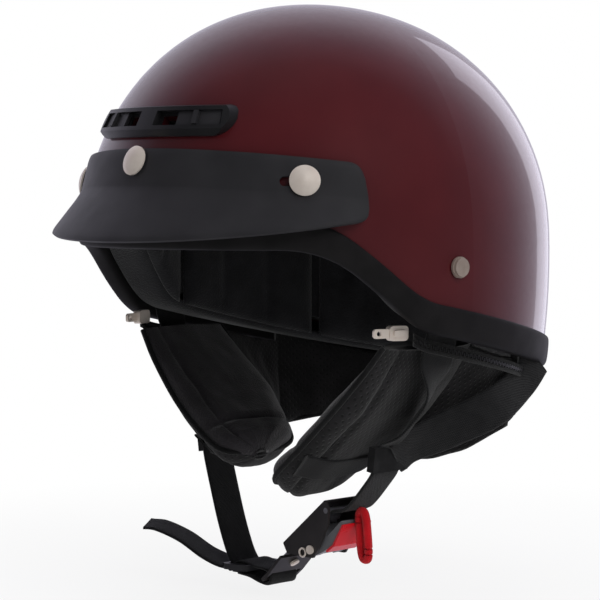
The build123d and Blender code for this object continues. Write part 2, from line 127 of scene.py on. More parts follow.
def curve_point(points, t):
    """Catmull-Rom spline through the points, t from 0 to 1."""
    last = len(points) - 1
    place = min(max(t, 0.0), 1.0) * last
    i = min(int(place), last - 1)
    f = place - i
    p0 = points[i - 1] if i > 0 else points[0] * 2 - points[1]
    p1, p2 = points[i], points[i + 1]
    p3 = points[i + 2] if i + 2 <= last else points[last] * 2 - points[last - 1]
    return 0.5 * ((2 * p1) + (p2 - p0) * f + (2 * p0 - 5 * p1 + 4 * p2 - p3) * f * f
                  + (3 * p1 - p0 - 3 * p2 + p3) * f ** 3)


def build(name, points, faces, material, uvs=None, smooth=True, level=0):
    """Mesh object from points in millimetres, with UVs in metres where they are given."""
    mesh = bpy.data.meshes.new(name)
    mesh.from_pydata([p * MM for p in points], [], faces)
    mesh.validate()
    if uvs:
        layer = mesh.uv_layers.new(name="UVMap")
        for loop in mesh.loops:
            u, v = uvs[loop.vertex_index]
            layer.data[loop.index].uv = (u * MM, v * MM)
    for polygon in mesh.polygons:
        polygon.use_smooth = smooth
    obj = bpy.data.objects.new(name, mesh)
    bpy.context.scene.collection.objects.link(obj)
    obj.data.materials.append(material)
    if level:
        modifier = obj.modifiers.new("smooth", "SUBSURF")
        modifier.levels = modifier.render_levels = level
    return obj


def grid_faces(rows, columns, wrap_rows=False, wrap_columns=False, start=0):
    """Quads between neighbouring points of a grid stored row by row."""
    faces = []
    for i in range(rows if wrap_rows else rows - 1):
        for j in range(columns if wrap_columns else columns - 1):
            a, b = (i * columns + j), (i * columns + (j + 1) % columns)
            c, d = ((i + 1) % rows) * columns + (j + 1) % columns, ((i + 1) % rows) * columns + j
            faces.append(tuple(start + k for k in (a, b, c, d)))
    return faces


def ring_tube(name, centres, radius, material, body, closed=False, sides=10, flat=1.0):
    """Round tube along the points, with its ends capped unless it is closed."""
    points, count = [], len(centres)
    up = Vector((0, 0, 1))
    for i, centre in enumerate(centres):
        ahead = centres[(i + 1) % count] if closed or i + 1 < count else centre
        behind = centres[i - 1] if closed or i > 0 else centre
        along = (ahead - behind).normalized()
        side = along.cross(up)
        side = side.normalized() if side.length > 0.05 else Vector((1, 0, 0))
        top = side.cross(along).normalized()
        for k in range(sides):
            angle = 2 * math.pi * k / sides
            points.append(centre + side * math.cos(angle) * radius
                          + top * math.sin(angle) * radius * flat)
    faces = grid_faces(count, sides, wrap_rows=closed, wrap_columns=True)
    if not closed:
        faces.append(tuple(range(sides)))
        faces.append(tuple(reversed(range((count - 1) * sides, count * sides))))
    uvs = [(3.0 * (i % sides), 2.0 * (i // sides)) for i in range(len(points))]
    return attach(build(name, points, faces, material, uvs), body)


def ribbon(name, route, width, thick, material, body, steps=48):
    """Woven strap: route is (middle, direction across) pairs, with a rounded thin section."""
    middles = [Vector(m) for m, _ in route]
    acrosses = [Vector(a).normalized() for _, a in route]
    section = [(-0.5, 0.0), (-0.485, 0.38), (-0.43, 0.5), (-0.2, 0.46), (0.0, 0.44), (0.2, 0.46),
               (0.43, 0.5), (0.485, 0.38), (0.5, 0.0), (0.485, -0.38), (0.43, -0.5),
               (0.2, -0.46), (0.0, -0.44), (-0.2, -0.46), (-0.43, -0.5), (-0.485, -0.38)]
    points, uvs, run = [], [], 0.0
    last = None
    for i in range(steps + 1):
        t = i / steps
        middle = curve_point(middles, t)
        along = (curve_point(middles, t + 0.01) - curve_point(middles, t - 0.01)).normalized()
        across = curve_point(acrosses, t)
        across = (across - along * across.dot(along)).normalized()
        out = along.cross(across)
        run += (middle - last).length if last else 0.0
        last = middle
        for u, n in section:
            points.append(middle + across * u * width + out * n * thick)
            uvs.append((u * width, run))
    count = len(section)
    faces = grid_faces(steps + 1, count, wrap_columns=True)
    faces.append(tuple(range(count)))
    faces.append(tuple(reversed(range(steps * count, (steps + 1) * count))))
    obj = build(name, points, faces, material, uvs)
    if body:
        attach(obj, body)
    return obj


# ---------------------------------------------------------------- materials

class Nodes:
    """Short way to add and link shader nodes in one material."""

    def __init__(self, name):
        self.material = bpy.data.materials.new(name)
        self.material.use_nodes = True
        self.tree = self.material.node_tree
        self.shader = self.tree.nodes["Principled BSDF"]

    def add(self, kind, **settings):
        node = self.tree.nodes.new(kind)
        for key, value in settings.items():
            if key in node.inputs:
                node.inputs[key].default_value = value
            else:
                setattr(node, key, value)
        return node

    def link(self, source, target):
        self.tree.links.new(source, target)

    def set(self, **values):
        for key, value in values.items():
            self.shader.inputs[key.replace("_", " ")].default_value = value

    def coords(self, output="Object"):
        return self.add("ShaderNodeTexCoord").outputs[output]

    def math(self, operation, a, b=None, c=None):
        node = self.tree.nodes.new("ShaderNodeMath")
        node.operation = operation
        for i, value in enumerate((a, b, c)):
            if value is None:
                continue
            if isinstance(value, (int, float)):
                node.inputs[i].default_value = value
            else:
                self.link(value, node.inputs[i])
        return node.outputs[0]

    def noise(self, scale, detail=4.0, coords="Object"):
        node = self.add("ShaderNodeTexNoise", Scale=scale, Detail=detail)
        self.link(self.coords(coords), node.inputs["Vector"])
        return node.outputs["Fac"]

    def blend_colour(self, factor, dark, light):
        ramp = self.tree.nodes.new("ShaderNodeValToRGB")
        ramp.color_ramp.elements[0].color = (*dark, 1)
        ramp.color_ramp.elements[1].color = (*light, 1)
        ramp.color_ramp.elements[0].position = 0.3
        ramp.color_ramp.elements[1].position = 0.7
        self.link(factor, ramp.inputs["Fac"])
        self.link(ramp.outputs["Color"], self.shader.inputs["Base Color"])

    def span(self, factor, socket, low, high):
        node = self.tree.nodes.new("ShaderNodeMapRange")
        node.inputs["To Min"].default_value = low
        node.inputs["To Max"].default_value = high
        self.link(factor, node.inputs["Value"])
        self.link(node.outputs["Result"], self.shader.inputs[socket])

    def bump(self, height, strength, distance):
        node = self.tree.nodes.new("ShaderNodeBump")
        node.inputs["Strength"].default_value = strength
        node.inputs["Distance"].default_value = distance
        self.link(height, node.inputs["Height"])
        self.link(node.outputs["Normal"], self.shader.inputs["Normal"])
        return node


def paint_material():
    m = Nodes("wine_paint")
    m.blend_colour(m.noise(35.0, 3.0), (0.060, 0.0062, 0.0085), (0.072, 0.0080, 0.0105))
    m.span(m.noise(260.0), "Roughness", 0.36, 0.46)
    m.set(Coat_Weight=1.0, Coat_Roughness=0.045, Coat_IOR=1.5, Specular_IOR_Level=0.35)
    m.bump(m.noise(900.0, 2.0), 0.02, 0.0002)
    return m.material


def rubber_material():
    m = Nodes("edge_rubber")
    m.blend_colour(m.noise(60.0), (0.007, 0.0065, 0.0068), (0.0115, 0.0105, 0.011))
    m.set(Specular_IOR_Level=0.35)
    m.span(m.noise(90.0), "Roughness", 0.58, 0.72)
    m.bump(m.noise(1600.0, 6.0), 0.16, 0.0004)
    return m.material


def plastic_material(name, dark, light, rough=(0.3, 0.42), grain=0.08):
    m = Nodes(name)
    m.blend_colour(m.noise(45.0), dark, light)
    m.span(m.noise(120.0), "Roughness", *rough)
    m.bump(m.noise(2200.0, 4.0), grain, 0.0003)
    return m.material


def metal_material(name, dark, light, rough=(0.2, 0.34), shine=0.9):
    m = Nodes(name)
    m.blend_colour(m.noise(150.0), dark, light)
    m.set(Metallic=shine)
    m.span(m.noise(420.0, 6.0), "Roughness", *rough)
    m.bump(m.noise(1500.0, 4.0), 0.03, 0.0001)
    return m.material


def webbing_material(name, dark, light, pitch=1.1):
    """Ribbed weave: rows along the strap crossed by fine yarns, from UVs in metres."""
    m = Nodes(name)
    split = m.add("ShaderNodeSeparateXYZ")
    m.link(m.coords("UV"), split.inputs["Vector"])
    across = m.math("SINE", m.math("MULTIPLY", split.outputs["X"], 2 * math.pi / (pitch * MM)))
    shift = m.math("MULTIPLY", m.math("SIGN", across), math.pi / 2)
    along = m.math("MULTIPLY", split.outputs["Y"], 2 * math.pi / (1.3 * pitch * MM))
    rows = m.math("SINE", m.math("ADD", along, shift))
    height = m.math("ADD", m.math("MULTIPLY", m.math("ABSOLUTE", across), 0.6), rows)
    m.blend_colour(m.math("MULTIPLY_ADD", height, 0.3, m.math("MULTIPLY", m.noise(160.0), 0.7)),
                   dark, light)
    m.set(Roughness=0.85, Sheen_Weight=0.1, Sheen_Roughness=0.5, Specular_IOR_Level=0.25)
    m.bump(height, 0.5, 0.0003)
    return m.material


def knit_material(name, dark, light, cell=0.9, sheen=0.15):
    """Brushed knit: fine loops over the object's own coordinates."""
    m = Nodes(name)
    loops = m.add("ShaderNodeTexVoronoi", Scale=1.0 / (cell * MM))
    m.link(m.coords(), loops.inputs["Vector"])
    height = m.math("ADD", loops.outputs["Distance"], m.math("MULTIPLY", m.noise(700.0), 0.6))
    m.blend_colour(m.math("ADD", m.math("MULTIPLY", m.noise(70.0), 0.7),
                          m.math("MULTIPLY", loops.outputs["Distance"], 0.25)), dark, light)
    m.set(Roughness=0.95, Sheen_Weight=sheen, Sheen_Roughness=0.5, Specular_IOR_Level=0.2)
    m.bump(height, 0.55, 0.0005)
    return m.material


def perforated_material(name, dark, light, pitch=4.2, hole=0.62):
    """Brushed fabric punched with a staggered grid of small holes, from UVs in metres."""
    m = Nodes(name)
    split = m.add("ShaderNodeSeparateXYZ")
    m.link(m.coords("UV"), split.inputs["Vector"])
    column = m.math("MULTIPLY", split.outputs["X"], 1.0 / (pitch * MM))
    row = m.math("MULTIPLY", split.outputs["Y"], 1.0 / (pitch * 0.5 * MM))
    stagger = m.math("MULTIPLY", m.math("MODULO", m.math("FLOOR", row), 2.0), 0.5)
    du = m.math("SUBTRACT", m.math("FRACT", m.math("ADD", column, stagger)), 0.5)
    dv = m.math("MULTIPLY", m.math("SUBTRACT", m.math("FRACT", row), 0.5), 0.5)
    away = m.math("SQRT", m.math("ADD", m.math("MULTIPLY", du, du), m.math("MULTIPLY", dv, dv)))
    rim = m.add("ShaderNodeMapRange")
    rim.inputs["From Min"].default_value = hole / pitch * 0.7
    rim.inputs["From Max"].default_value = hole / pitch * 1.2
    m.link(away, rim.inputs["Value"])
    cloth = m.math("MULTIPLY_ADD", m.noise(80.0), 0.75, m.math("MULTIPLY", m.noise(1100.0), 0.25))
    m.blend_colour(m.math("MULTIPLY", cloth, rim.outputs["Result"]), dark, light)
    m.set(Roughness=0.95, Sheen_Weight=0.12, Sheen_Roughness=0.6, Specular_IOR_Level=0.2)
    height = m.math("ADD", rim.outputs["Result"], m.math("MULTIPLY", m.noise(1300.0), 0.35))
    m.bump(height, 0.6, 0.0006)
    return m.material


PAINT = paint_material()
RUBBER = rubber_material()
SATIN = plastic_material("satin_black", (0.017, 0.0165, 0.0185), (0.025, 0.0245, 0.027),
                         (0.38, 0.5))
GLOSSY_BLACK = plastic_material("vent_black", (0.008, 0.008, 0.009), (0.014, 0.014, 0.015),
                                (0.25, 0.35))
GREY = plastic_material("grey_plastic", (0.10, 0.10, 0.11), (0.15, 0.15, 0.16), (0.3, 0.45))
RED = plastic_material("red_plastic", (0.50, 0.006, 0.012), (0.62, 0.012, 0.02), (0.22, 0.34))
NICKEL = metal_material("satin_nickel", (0.82, 0.72, 0.64), (0.90, 0.81, 0.73), (0.3, 0.42), 0.45)
AGED_NICKEL = metal_material("aged_nickel", (0.36, 0.29, 0.25), (0.48, 0.40, 0.35), (0.35, 0.5), 0.5)
STEEL = metal_material("plain_steel", (0.30, 0.30, 0.31), (0.48, 0.48, 0.50), (0.28, 0.42))
DARK_STEEL = plastic_material("coated_steel", (0.016, 0.014, 0.014), (0.032, 0.028, 0.028),
                              (0.3, 0.45), 0.12)
WEBBING = webbing_material("black_webbing", (0.004, 0.004, 0.0045), (0.016, 0.016, 0.017))
ELASTIC = webbing_material("black_elastic", (0.004, 0.004, 0.004), (0.014, 0.014, 0.015), 0.8)
RED_CORD = webbing_material("red_cord", (0.36, 0.002, 0.006), (0.66, 0.006, 0.014), 1.6)
LINER = knit_material("liner_knit", (0.006, 0.006, 0.007), (0.016, 0.016, 0.018))
FLAP_INNER = knit_material("flap_knit", (0.013, 0.0115, 0.013), (0.028, 0.025, 0.029), 0.8, 0.3)
FLAP_OUTER = perforated_material("flap_perforated", (0.002, 0.002, 0.002), (0.0105, 0.0095, 0.011))
PIPING = knit_material("piping_cloth", (0.003, 0.003, 0.003), (0.009, 0.009, 0.010), 0.6, 0.1)
TEETH = plastic_material("zip_teeth", (0.006, 0.006, 0.006), (0.014, 0.014, 0.014), (0.25, 0.4))


# ---------------------------------------------------------------- camera, light, floor

AZIMUTH, ELEVATION = math.radians(45.0), math.radians(3.0)
DISTANCE = 1.15
SCALE = 1870.0
AIM_SHIFT = -0.0129
AIM_HEIGHT = -0.026


def make_camera():
    back = Vector((math.sin(AZIMUTH) * math.cos(ELEVATION),
                   -math.cos(AZIMUTH) * math.cos(ELEVATION), math.sin(ELEVATION)))
    right = Vector((math.cos(AZIMUTH), math.sin(AZIMUTH), 0))
    aim = Vector((0, 0, AIM_HEIGHT)) + right * AIM_SHIFT
    data = bpy.data.cameras.new("camera")
    data.sensor_width = 36.0
    data.lens = 36.0 * DISTANCE * SCALE / 600.0
    camera = bpy.data.objects.new("camera", data)
    camera.rotation_mode = "QUATERNION"
    camera.location = aim + back * DISTANCE
    camera.rotation_quaternion = (-back).to_track_quat("-Z", "Y")
    bpy.context.scene.collection.objects.link(camera)
    bpy.context.scene.camera = camera


def area_light(name, azimuth, elevation, distance, size, power, colour=(1, 1, 1), mirrored=False):
    """Soft box aimed at the helmet from a direction given like the camera's."""
    a, e = math.radians(azimuth), math.radians(elevation)
    back = Vector((math.sin(a) * math.cos(e), -math.cos(a) * math.cos(e), math.sin(e)))
    data = bpy.data.lights.new(name, "AREA")
    data.shape = "RECTANGLE"
    data.size, data.size_y = size
    data.energy = power
    data.color = colour
    light = bpy.data.objects.new(name, data)
    light.rotation_mode = "QUATERNION"
    light.location = back * distance
    light.rotation_quaternion = (-back).to_track_quat("-Z", "Y")
    light.visible_glossy = mirrored
    bpy.context.scene.collection.objects.link(light)


def make_world():
    """White backdrop behind the helmet that fades to a dim room on the near side."""
    world = bpy.data.worlds.new("studio")
    world.use_nodes = True
    tree = world.node_tree
    room = tree.nodes["Background"]
    coords = tree.nodes.new("ShaderNodeTexCoord")
    facing = tree.nodes.new("ShaderNodeVectorMath")
    facing.operation = "DOT_PRODUCT"
    facing.inputs[1].default_value = (-math.sin(AZIMUTH), math.cos(AZIMUTH), 0.12)
    ramp = tree.nodes.new("ShaderNodeValToRGB")
    stops = ramp.color_ramp.elements
    stops[0].position, stops[0].color = 0.3, (0.055, 0.054, 0.06, 1)
    stops[1].position, stops[1].color = 0.88, (0.6, 0.58, 0.68, 1)
    for place, colour in ((0.55, (0.09, 0.085, 0.1, 1)), (0.72, (0.28, 0.265, 0.33, 1))):
        stop = stops.new(place)
        stop.color = colour
    tree.links.new(coords.outputs["Generated"], facing.inputs[0])
    half = tree.nodes.new("ShaderNodeMath")
    half.operation = "MULTIPLY_ADD"
    half.inputs[1].default_value = 0.5
    half.inputs[2].default_value = 0.5
    tree.links.new(facing.outputs["Value"], half.inputs[0])
    tree.links.new(half.outputs[0], ramp.inputs["Fac"])
    tree.links.new(ramp.outputs["Color"], room.inputs["Color"])
    seen = tree.nodes.new("ShaderNodeBackground")
    seen.inputs["Color"].default_value = (1, 1, 1, 1)
    path = tree.nodes.new("ShaderNodeLightPath")
    mix = tree.nodes.new("ShaderNodeMixShader")
    tree.links.new(path.outputs["Is Camera Ray"], mix.inputs["Fac"])
    tree.links.new(room.outputs["Background"], mix.inputs[1])
    tree.links.new(seen.outputs["Background"], mix.inputs[2])
    tree.links.new(mix.outputs["Shader"], tree.nodes["World Output"].inputs["Surface"])
    bpy.context.scene.world = world
    bpy.context.scene.view_settings.view_transform = "Standard"


def make_floor():
    """Pale round floor under the strap that fades into the background."""
    low = cad_bounds[0].z / MM - 6.0
    rings, sides = 24, 64
    points = [Vector((0, 0, low))]
    for i in range(1, rings + 1):
        radius = 4000.0 * (i / rings) ** 1.6
        for k in range(sides):
            turn = 2 * math.pi * k / sides
            points.append(Vector((radius * math.cos(turn), radius * math.sin(turn), low)))
    faces = [(0, 1 + k, 1 + (k + 1) % sides) for k in range(sides)]
    faces += [tuple(reversed(f)) for f in grid_faces(rings, sides, wrap_columns=True, start=1)]
    m = Nodes("pale_floor")
    m.blend_colour(m.noise(3.0), (0.86, 0.86, 0.86), (0.9, 0.9, 0.9))
    m.set(Roughness=0.8)
    glow = m.add("ShaderNodeEmission")
    mix = m.add("ShaderNodeMixShader")
    away = m.add("ShaderNodeVectorMath", operation="LENGTH")
    m.link(m.coords(), away.inputs[0])
    fade = m.add("ShaderNodeMapRange")
    fade.inputs["To Min"].default_value = 0.8
    fade.inputs["From Min"].default_value = 0.08
    fade.inputs["From Max"].default_value = 0.5
    m.link(away.outputs["Value"], fade.inputs["Value"])
    m.link(fade.outputs["Result"], mix.inputs["Fac"])
    m.link(m.shader.outputs["BSDF"], mix.inputs[1])
    m.link(glow.outputs["Emission"], mix.inputs[2])
    m.link(mix.outputs["Shader"], m.tree.nodes["Material Output"].inputs["Surface"])
    floor = build("floor", points, faces, m.material, smooth=False)
    floor.visible_glossy = False


make_camera()
make_world()
make_floor()
area_light("key", 84.0, 34.0, 1.9, (1.5, 1.1), 21.0)
area_light("top", 10.0, 80.0, 1.7, (1.4, 1.0), 9.0)
area_light("right_strip", 191.0, 4.0, 1.3, (0.5, 1.6), 2.2, (0.9, 0.88, 1.0),
           True)
area_light("low_front", 40.0, -14.0, 1.6, (1.3, 0.5), 4.0)


# ---------------------------------------------------------------- carried-over CAD nodes

def dress(node, material):
    obj = nodes[node]
    obj.data.materials.clear()
    obj.data.materials.append(material)


for node, material in (
        ("outer_shell", PAINT), ("impact_liner", LINER), ("vent_housing", GLOSSY_BLACK),
        ("vent_shutter_left", SATIN), ("vent_shutter_right", SATIN), ("snap_studs", NICKEL),
        ("snap_caps", NICKEL), ("shell_rivets", AGED_NICKEL), ("strap_anchors", STEEL),
        ("zipper_slider_left", NICKEL), ("zipper_slider_right", NICKEL),
        ("buckle_housing", DARK_STEEL), ("buckle_bar", STEEL), ("buckle_pivot", NICKEL),
        ("lever_spring", STEEL), ("spring_eye", NICKEL), ("release_lever", GREY),
        ("lever_grip", RED), ("ratchet_tongue", STEEL), ("tongue_plate", DARK_STEEL),
        ("tongue_rivet", NICKEL), ("strap_adjuster", SATIN), ("strap_joint_left", WEBBING),
        ("strap_joint_right", WEBBING)):
    dress(node, material)


# ---------------------------------------------------------------- edge trim

TRIM_SECTION = [(-6.5, 15.0), (-6.6, 11.0), (-6.6, 3.0), (-5.9, 1.0), (-4.2, 0.1), (-2.0, -0.1),
                (0.3, 0.1), (1.8, 0.9), (2.5, 2.8), (2.6, 7.0), (2.5, 13.4), (2.0, 15.1), (0.8, 15.5),
                (0.15, 15.0), (0.1, 5.0), (-2.0, 3.0), (-4.1, 5.0), (-4.15, 15.0), (-5.2, 15.5)]


def make_trim():
    """Rubber edge swept round the whole rim of the shell."""
    turns, points = 240, []
    for i in range(turns):
        turn = 2 * math.pi * i / turns
        points += [rim_point(turn, up, off) for off, up in TRIM_SECTION]
    faces = grid_faces(turns, len(TRIM_SECTION), wrap_rows=True, wrap_columns=True)
    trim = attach(build("rubber_edge", points, faces, RUBBER, level=1), "helmet")
    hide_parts("edge_trim")


make_trim()


# ---------------------------------------------------------------- peak

PEAK_GAP, PEAK_WALL, PEAK_END = 1.2, 2.4, 60.6
PEAK_BRIM = 19.0
# Each snap slot: angle, height, start and stop of the slot, half width, whether it stands upright.
SNAP_SLOTS = ((0.0, 46.0, -13.5, 4.6, 2.2, True),
              (46.0, 36.5, -12.0, 7.2, 2.4, False),
              (-46.0, 36.5, -7.2, 12.0, 2.4, False))


def peak_route(angle):
    """Inner line of the peak at one angle: points down the band and out along the brim."""
    end = math.cos(math.radians(62.0))
    part = max((math.cos(math.radians(angle)) - end) / (1.0 - end), 0.0)
    crease, tip = 26.0 + 6.0 * part, 18.0 - 11.0 * part
    brim = 1.0 + PEAK_BRIM * part ** 0.75
    turn = math.radians(angle)

    def level(z):
        return dome(turn, z, 0.0)

    base = level(crease)
    normal = Vector((math.sin(turn) / HALF_WIDTH, -math.cos(turn) / FRONT_REACH, 0)).normalized()
    base += normal * PEAK_GAP
    top = 44.4 - (base.y + 66.0) * 0.1235
    lean = (level(top) + normal * PEAK_GAP - base).dot(normal)
    high = Vector((base.x, base.y, top)) + normal * lean
    low = Vector((base.x, base.y, tip)) + normal * brim
    return high, base, low, normal


def peak_section(angle, inset):
    """Closed loop round the peak's wall at one angle, shortened by inset at top and bottom."""
    high, base, low, normal = peak_route(angle)
    line = []
    for t in (0.0, 0.12, 0.3, 0.5, 0.7, 0.84):
        line.append(high.lerp(base, t))
    for t in (0.05, 0.25, 0.5, 0.75, 1.0):
        start, middle, stop = high.lerp(base, 0.88), base, base.lerp(low, 0.3)
        line.append(start.lerp(middle, t).lerp(middle.lerp(stop, t), t))
    for t in (0.45, 0.62, 0.8, 0.93, 1.0):
        line.append(base.lerp(low, t))
    total = (high - base).length + (low - base).length
    cut = min(inset / total, 0.49)
    line = [curve_point(line, cut + (1 - 2 * cut) * i / 23) for i in range(24)]
    outer, inner = [], []
    for i, p in enumerate(line):
        along = (line[min(i + 1, 23)] - line[max(i - 1, 0)]).normalized()
        side = normal - along * normal.dot(along)
        side = side.normalized()
        end_share = min(i, 23 - i)
        wall = PEAK_WALL * (0.55, 0.86, 1.0)[min(end_share, 2)]
        shift = (PEAK_WALL - wall) / 2
        inner.append(p + side * shift)
        outer.append(p + side * (shift + wall))
    return inner + list(reversed(outer))


def slot_cutter(angle, z, start, stop, half, upright):
    """Rounded bar that cuts a snap's slot through the peak."""
    turn = math.radians(angle)
    normal = Vector((math.sin(turn) / HALF_WIDTH, -math.cos(turn) / FRONT_REACH, 0)).normalized()
    rise = (dome(turn, z + 8) - dome(turn, z - 8)).normalized()
    level = Vector((-normal.y, normal.x, 0)).normalized()
    out = level.cross(rise).normalized()
    out = out if out.dot(normal) > 0 else -out
    run, side = (rise, level) if upright else (level, rise)
    middle, points, count = dome(turn, z), [], 24
    for depth in (-1.0, 9.0):
        for k in range(count):
            angle_k = 2 * math.pi * k / count
            reach = stop - half if math.cos(angle_k) > 0 else start + half
            points.append(middle + out * depth + run * (reach + half * math.cos(angle_k))
                          + side * half * math.sin(angle_k))
    faces = grid_faces(2, count, wrap_columns=True)
    faces += [tuple(reversed(range(count))), tuple(range(count, 2 * count))]
    return build("cutter", points, faces, SATIN, smooth=False)


def apply_modifiers(obj):
    """Bakes an object's modifiers into its mesh."""
    bpy.context.view_layer.update()
    mesh = bpy.data.meshes.new_from_object(
        obj.evaluated_get(bpy.context.evaluated_depsgraph_get()))
    obj.modifiers.clear()
    obj.data = mesh


def make_peak():
    """Peak with rounded ends and a slot under each snap."""
    columns, corner = 121, 8.0
    points = []
    for i in range(columns):
        part = 2.0 * i / (columns - 1) - 1.0
        angle = PEAK_END * math.copysign(1 - (1 - abs(part)) ** 1.25, part)
        near_end = (PEAK_END - abs(angle)) * 2.0
        inset = 0.0
        if near_end < corner:
            inset = corner - math.sqrt(corner ** 2 - (corner - near_end) ** 2)
        points += peak_section(angle, inset)
    size = 48
    faces = grid_faces(columns, size, wrap_columns=True)
    faces += [tuple(range(size)), tuple(reversed(range((columns - 1) * size, columns * size)))]
    peak = build("peak_moulding", points, faces, SATIN)
    cutters = [slot_cutter(*slot) for slot in SNAP_SLOTS]
    for cutter in cutters:
        cut = peak.modifiers.new("slot", "BOOLEAN")
        cut.operation, cut.object, cut.solver = "DIFFERENCE", cutter, "EXACT"
    apply_modifiers(peak)
    for cutter in cutters:
        bpy.data.objects.remove(cutter)
    smooth = peak.modifiers.new("sharp", "EDGE_SPLIT")
    smooth.split_angle = math.radians(50)
    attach(peak, "peak")
    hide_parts("peak")


make_peak()


# ---------------------------------------------------------------- liner pads

LINER_DEPTH = 26.6
BAND_TOP = 37.0
CROWN_BOTTOM, CROWN_TOP = 42.0, 92.0


def edge_walls(rows, columns, flipped):
    """Quads that join two stacked grids of points along their common outline."""
    count = (rows + 1) * (columns + 1)
    rim = list(range(columns + 1)) + [(i + 1) * (columns + 1) - 1 for i in range(1, rows + 1)]
    rim += [rows * (columns + 1) + j for j in reversed(range(columns))]
    rim += [i * (columns + 1) for i in reversed(range(1, rows))]
    walls = []
    for k, a in enumerate(rim):
        b = rim[(k + 1) % len(rim)]
        walls.append((b, a, a + count, b + count) if flipped else (a, b, b + count, a + count))
    return walls


def pad(name, turns, heights, depth, thick, material, channels=0, body="helmet"):
    """Crowned pad on the inside of the helmet between two turns and two heights."""
    rows, columns = 30, 40
    points, uvs = [], []

    def crown(u, v):
        edge = (1 - abs(2 * u - 1) ** 5) * (1 - abs(2 * v - 1) ** 5)
        value = max(edge, 0.0) ** 0.55
        if channels:
            phase = abs(math.sin(math.pi * channels * u))
            value *= 0.72 + 0.28 * min(phase * 2.2, 1.0) ** 0.7
        return value

    for side in (0, 1):
        for i in range(rows + 1):
            v = i / rows
            for j in range(columns + 1):
                u = j / columns
                turn = turns[0] + (turns[1] - turns[0]) * u
                high = heights[0](turn) + (heights[1](turn) - heights[0](turn)) * v
                swell = noise.noise(Vector((turn * 5, high * 0.06, 3.0))) * 0.6
                off = -depth if side == 0 else -depth - 0.8 - (thick + swell) * crown(u, v)
                points.append(dome(turn, high, off))
                uvs.append((turn * 95.0, high))
    count = (rows + 1) * (columns + 1)
    faces = [tuple(reversed(f)) for f in grid_faces(rows + 1, columns + 1)]
    faces += grid_faces(rows + 1, columns + 1, start=count)
    faces += edge_walls(rows, columns, flipped=False)
    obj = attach(build(name, points, faces, material, uvs), body)
    return obj


def rim_height(turn, up):
    """Height of the line that runs a given distance above the rim."""
    return rim_point(turn, up, 0.0).z


def make_liner():
    """Head-band pads round the bowl and six crown pads over them."""
    cuts = [-180, -128, -80, -34, 34, 80, 128, 180]
    for i in range(len(cuts) - 1):
        start, stop = math.radians(cuts[i] + 1.2), math.radians(cuts[i + 1] - 1.2)
        pad(f"band_pad_{i + 1}", (start, stop),
                        (lambda t: rim_height(t, 9.0), lambda t: BAND_TOP), LINER_DEPTH, 6.4, LINER,
                        channels=4 if i == 3 else 3)
    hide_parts("headband_pad")
    for i in range(6):
        start = math.radians(60 * i + 2.5 - 30)
        stop = math.radians(60 * i + 57.5 - 30)
        pad(f"crown_pad_{i + 1}", (start, stop),
                         (lambda t: CROWN_BOTTOM, lambda t: CROWN_TOP), LINER_DEPTH, 6.0, LINER,
                         channels=1)
    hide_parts("crown_pad")


def ring_skin(name, section, material, replaced, wrinkle=0.0, turns=(0.0, 2 * math.pi)):
    """Soft closed band round the rim, from a closed section of (offset, height) points."""
    steps = 200
    whole = turns[1] - turns[0] > 6.28
    count = steps if whole else steps + 1
    points, uvs = [], []
    for i in range(count):
        turn = turns[0] + (turns[1] - turns[0]) * i / steps
        for off, up in section:
            wave = wrinkle * noise.noise(Vector((turn * 9.0, up * 0.08, off * 0.1)))
            points.append(rim_point(turn, up, off + wave))
            uvs.append((turn * 110.0, up + off))
    faces = grid_faces(count, len(section), wrap_rows=whole, wrap_columns=True)
    if not whole:
        size = len(section)
        faces += [tuple(range(size)), tuple(reversed(range((count - 1) * size, count * size)))]
    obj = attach(build(name, points, faces, material, uvs, level=1), "helmet")
    if replaced:
        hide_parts(replaced)
    return obj


make_liner()
ring_skin("edge_cover", [(-6.9, 10.2), (-6.9, 6.6), (-9.0, 5.2), (-14.0, 4.9), (-20.0, 5.4),
                         (-25.0, 7.0), (-27.5, 10.5), (-26.0, 11.5), (-16.0, 10.6)],
          LINER, "liner_edge_cover", 0.5)


# ---------------------------------------------------------------- neck curtain and zip

CURTAIN_TURN = math.acos(-69.0 / 144.0)


def curtain_drop(turn):
    """Drop of the curtain's hem under the rim, deepest beside the ear flaps."""
    place = dome(turn, -55.0)
    hem = -96.0 + (place.y - 59.0) * 0.13 + 0.06 * place.x
    return rim_z(place.y) - hem


